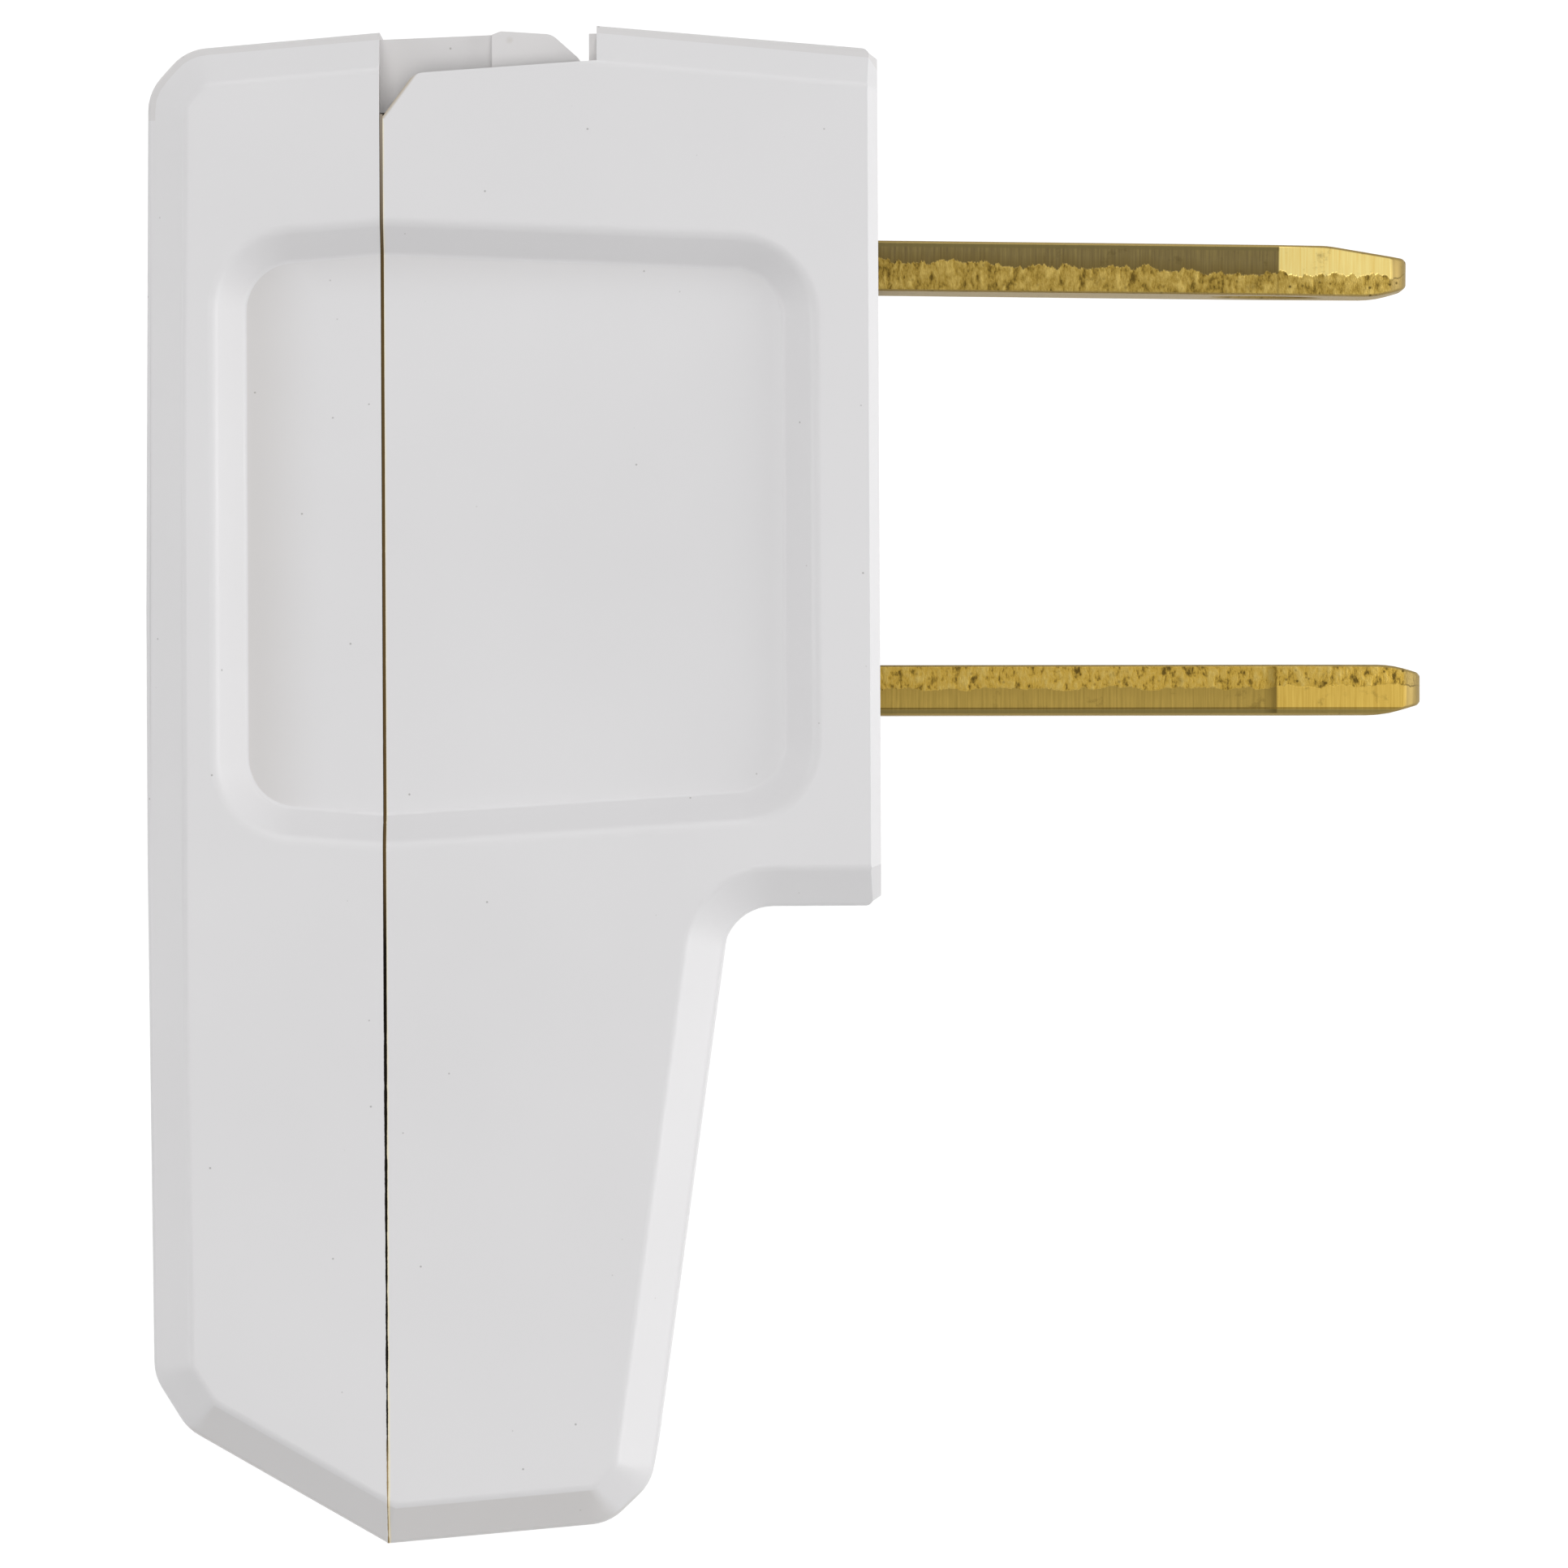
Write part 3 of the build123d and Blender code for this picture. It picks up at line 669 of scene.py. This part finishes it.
def finish_shading(piece):
    """Leaves edit mode with smooth curves and flat faces that stay flat."""
    bpy.ops.object.mode_set(mode="OBJECT")
    bpy.ops.object.shade_smooth_by_angle(angle=SMOOTH_ANGLE)
    piece.modifiers.new("flat faces", "WEIGHTED_NORMAL").keep_sharp = True
    bpy.ops.object.modifier_apply(modifier="flat faces")


def round_edges(piece, width):
    """Rounds the sharp edges of the piece in edit mode."""
    bpy.ops.mesh.select_mode(type="EDGE")
    bpy.ops.mesh.select_all(action="DESELECT")
    bpy.ops.mesh.edges_select_sharp(sharpness=SHARP_ANGLE)
    bpy.ops.mesh.bevel(offset=width, segments=3, affect="EDGES", clamp_overlap=True)
    finish_shading(piece)


def is_bevel_edge(edge):
    """True of an edge where a bevel round a side meets the outer wall."""
    depth = SIDE_Z - BEVEL
    at_depth = all(abs(abs(corner.co.z) - depth) < 0.01 * MM for corner in edge.verts)
    return at_depth and math.radians(25) < edge.calc_face_angle(0) < math.radians(65)


class PLUG_OT_halves(bpy.types.Operator):
    """Replaces the front body and the rear cover with moulded ones whose bevels have soft outer edges"""

    bl_idname = "plug.halves"
    bl_label = "Moulded halves"

    def execute(self, context):
        finish = context.scene.plug_finish
        plastic = white_plastic(finish)
        for node_name in ("front_body", "rear_cover"):
            piece = merged_copy(node_name, node_name + "_moulded")
            bpy.ops.mesh.select_mode(type="EDGE")
            bpy.ops.mesh.select_all(action="DESELECT")
            shape = bmesh.from_edit_mesh(piece.data)
            for edge in shape.edges:
                edge.select_set(is_bevel_edge(edge))
            bmesh.update_edit_mesh(piece.data)
            bpy.ops.mesh.bevel(offset=finish.bevel_edge, segments=4, affect="EDGES", clamp_overlap=True)
            finish_shading(piece)
            give_material(piece, plastic)
            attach(piece, "root")
            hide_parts(node_name)
        return {"FINISHED"}


class PLUG_OT_seam_dust(bpy.types.Operator):
    """Packs dust into the gap between the halves"""

    bl_idname = "plug.seam_dust"
    bl_label = "Seam dust"

    def execute(self, context):
        finish = context.scene.plug_finish
        piece = merged_copy("front_body", "seam_dust")

        # The wall's outline just inside the front half is also the outline of the gap
        bpy.ops.mesh.select_all(action="SELECT")
        bpy.ops.mesh.bisect(
            plane_co=(SEAM_X + SEAM_GAP, 0, 0),
            plane_no=(1, 0, 0),
            clear_inner=True,
            clear_outer=True,
            threshold=MERGE,
        )

        # Only the lines that reach the side faces are on the outside
        bpy.ops.mesh.select_mode(type="VERT")
        bpy.ops.mesh.select_all(action="DESELECT")
        shape = bmesh.from_edit_mesh(piece.data)
        for corner in shape.verts:
            corner.select_set(abs(corner.co.z) > SIDE_Z - 0.1 * MM)
        bmesh.update_edit_mesh(piece.data)
        bpy.ops.mesh.select_linked()
        bpy.ops.mesh.select_all(action="INVERT")
        bpy.ops.mesh.delete(type="VERT")

        # The outline becomes a ribbon as wide as the gap
        bpy.ops.mesh.select_mode(type="EDGE")
        bpy.ops.mesh.select_all(action="SELECT")
        bpy.ops.mesh.remove_doubles(threshold=0.02 * MM)
        bpy.ops.transform.translate(value=(-SEAM_GAP / 2, 0, 0))
        bpy.ops.mesh.extrude_edges_move(TRANSFORM_OT_translate={"value": (-SEAM_GAP, 0, 0)})
        bpy.ops.mesh.select_all(action="SELECT")
        bpy.ops.mesh.normals_make_consistent(inside=False)
        bpy.ops.object.mode_set(mode="OBJECT")
        wall = piece.modifiers.new("thickness", "SOLIDIFY")
        wall.thickness = finish.dust_thickness
        wall.offset = -1
        bpy.ops.object.modifier_apply(modifier="thickness")
        give_material(piece, packed_dust(finish))
        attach(piece, "root")
        return {"FINISHED"}


class PLUG_OT_blades(bpy.types.Operator):
    """Replaces each blade with one whose edges are rounded and show how the strip was sheared"""

    bl_idname = "plug.blades"
    bl_label = "Brass blades"

    def execute(self, context):
        finish = context.scene.plug_finish
        for node_name, blade in BLADES.items():
            piece = merged_copy(node_name, node_name + "_strip")
            round_edges(piece, finish.blade_edge)
            give_material(piece, sheared_brass(finish, node_name, blade))
            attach(piece, "root")
            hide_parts(node_name)
        return {"FINISHED"}


class PLUG_OT_terminals(bpy.types.Operator):
    """Gives the clamps and screws inside the plug their metals, and rounds the cover screw's edges"""

    bl_idname = "plug.terminals"
    bl_label = "Terminals"

    def execute(self, context):
        finish = context.scene.plug_finish
        brass = stamped_brass(finish)
        zinc = zinc_plate(finish)
        for row in ("upper", "lower"):
            give_material(frame["nodes"][row + "_wire_clamp"], brass)
            give_material(frame["nodes"][row + "_terminal_screw"], zinc)
        piece = merged_copy("cover_screw", "cover_screw_plated")
        round_edges(piece, finish.screw_edge)
        give_material(piece, zinc)
        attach(piece, "root")
        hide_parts("cover_screw")
        return {"FINISHED"}


class PLUG_OT_stage(bpy.types.Operator):
    """Sets the plain floor, the soft light and the camera at the photograph's angle"""

    bl_idname = "plug.stage"
    bl_label = "Stage"

    def execute(self, context):
        scene = context.scene
        stage = scene.plug_stage
        bpy.ops.object.select_all(action="DESELECT")

        # The floor lies a hair below the plug
        bpy.ops.mesh.primitive_plane_add(size=3, location=(0, 0, FLOOR_Z - 0.01 * MM))
        floor = context.active_object
        floor.name = "floor"
        floor.data.materials.append(white_floor(stage))
        scene.world = studio_world(stage)

        # Square soft boxes; the one overhead is kept out of what the brass reflects
        middle = Vector((*VIEW_MIDDLE, 0))
        for name, towards, power in (
            ("top_light", (0, 0, 1), stage.top_power),
            ("right_light", (0.954, 0, 0.3), stage.right_power),
            ("left_light", (-0.94, 0, 0.34), stage.left_power),
            ("far_light", (0, 0.8, 0.6), stage.far_power),
            ("near_light", (0, -0.954, 0.3), stage.near_power),
        ):
            bpy.ops.object.light_add(type="AREA", location=middle + Vector(towards) * LIGHT_DISTANCE)
            lamp = context.active_object
            lamp.name = name
            lamp.data.energy = power
            lamp.data.size = LIGHT_SIZE
            lamp.rotation_euler = Vector(towards).to_track_quat("Z", "Y").to_euler()
            lamp.visible_glossy = name != "top_light"

        bpy.ops.object.camera_add(location=(*VIEW_MIDDLE, VIEW_DISTANCE), rotation=(0, 0, stage.roll))
        camera = context.active_object
        camera.name = "camera"
        camera.data.lens = stage.lens
        scene.camera = camera
        scene.view_settings.view_transform = "Standard"
        return {"FINISHED"}


class PLUG_PT_panel(bpy.types.Panel):
    """Lists the plug's pieces in the order that they are made"""

    bl_label = "Plug"
    bl_idname = "PLUG_PT_panel"
    bl_space_type = "VIEW_3D"
    bl_region_type = "UI"
    bl_category = "Plug"

    def draw(self, context):
        for operator in OPERATORS:
            self.layout.operator(operator.bl_idname)


# The dust is made first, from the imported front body
OPERATORS = (PLUG_OT_seam_dust, PLUG_OT_halves, PLUG_OT_blades, PLUG_OT_terminals, PLUG_OT_stage)
CLASSES = (PlugFinish, PlugStage, *OPERATORS, PLUG_PT_panel)


def register():
    for cls in CLASSES:
        bpy.utils.register_class(cls)
    bpy.types.Scene.plug_finish = PointerProperty(type=PlugFinish)
    bpy.types.Scene.plug_stage = PointerProperty(type=PlugStage)


def unregister():
    del bpy.types.Scene.plug_stage
    del bpy.types.Scene.plug_finish
    for cls in reversed(CLASSES):
        bpy.utils.unregister_class(cls)


def main():
    register()
    bpy.ops.plug.seam_dust()
    bpy.ops.plug.halves()
    bpy.ops.plug.blades()
    bpy.ops.plug.terminals()
    bpy.ops.plug.stage()


if __name__ == "__main__":
    main()
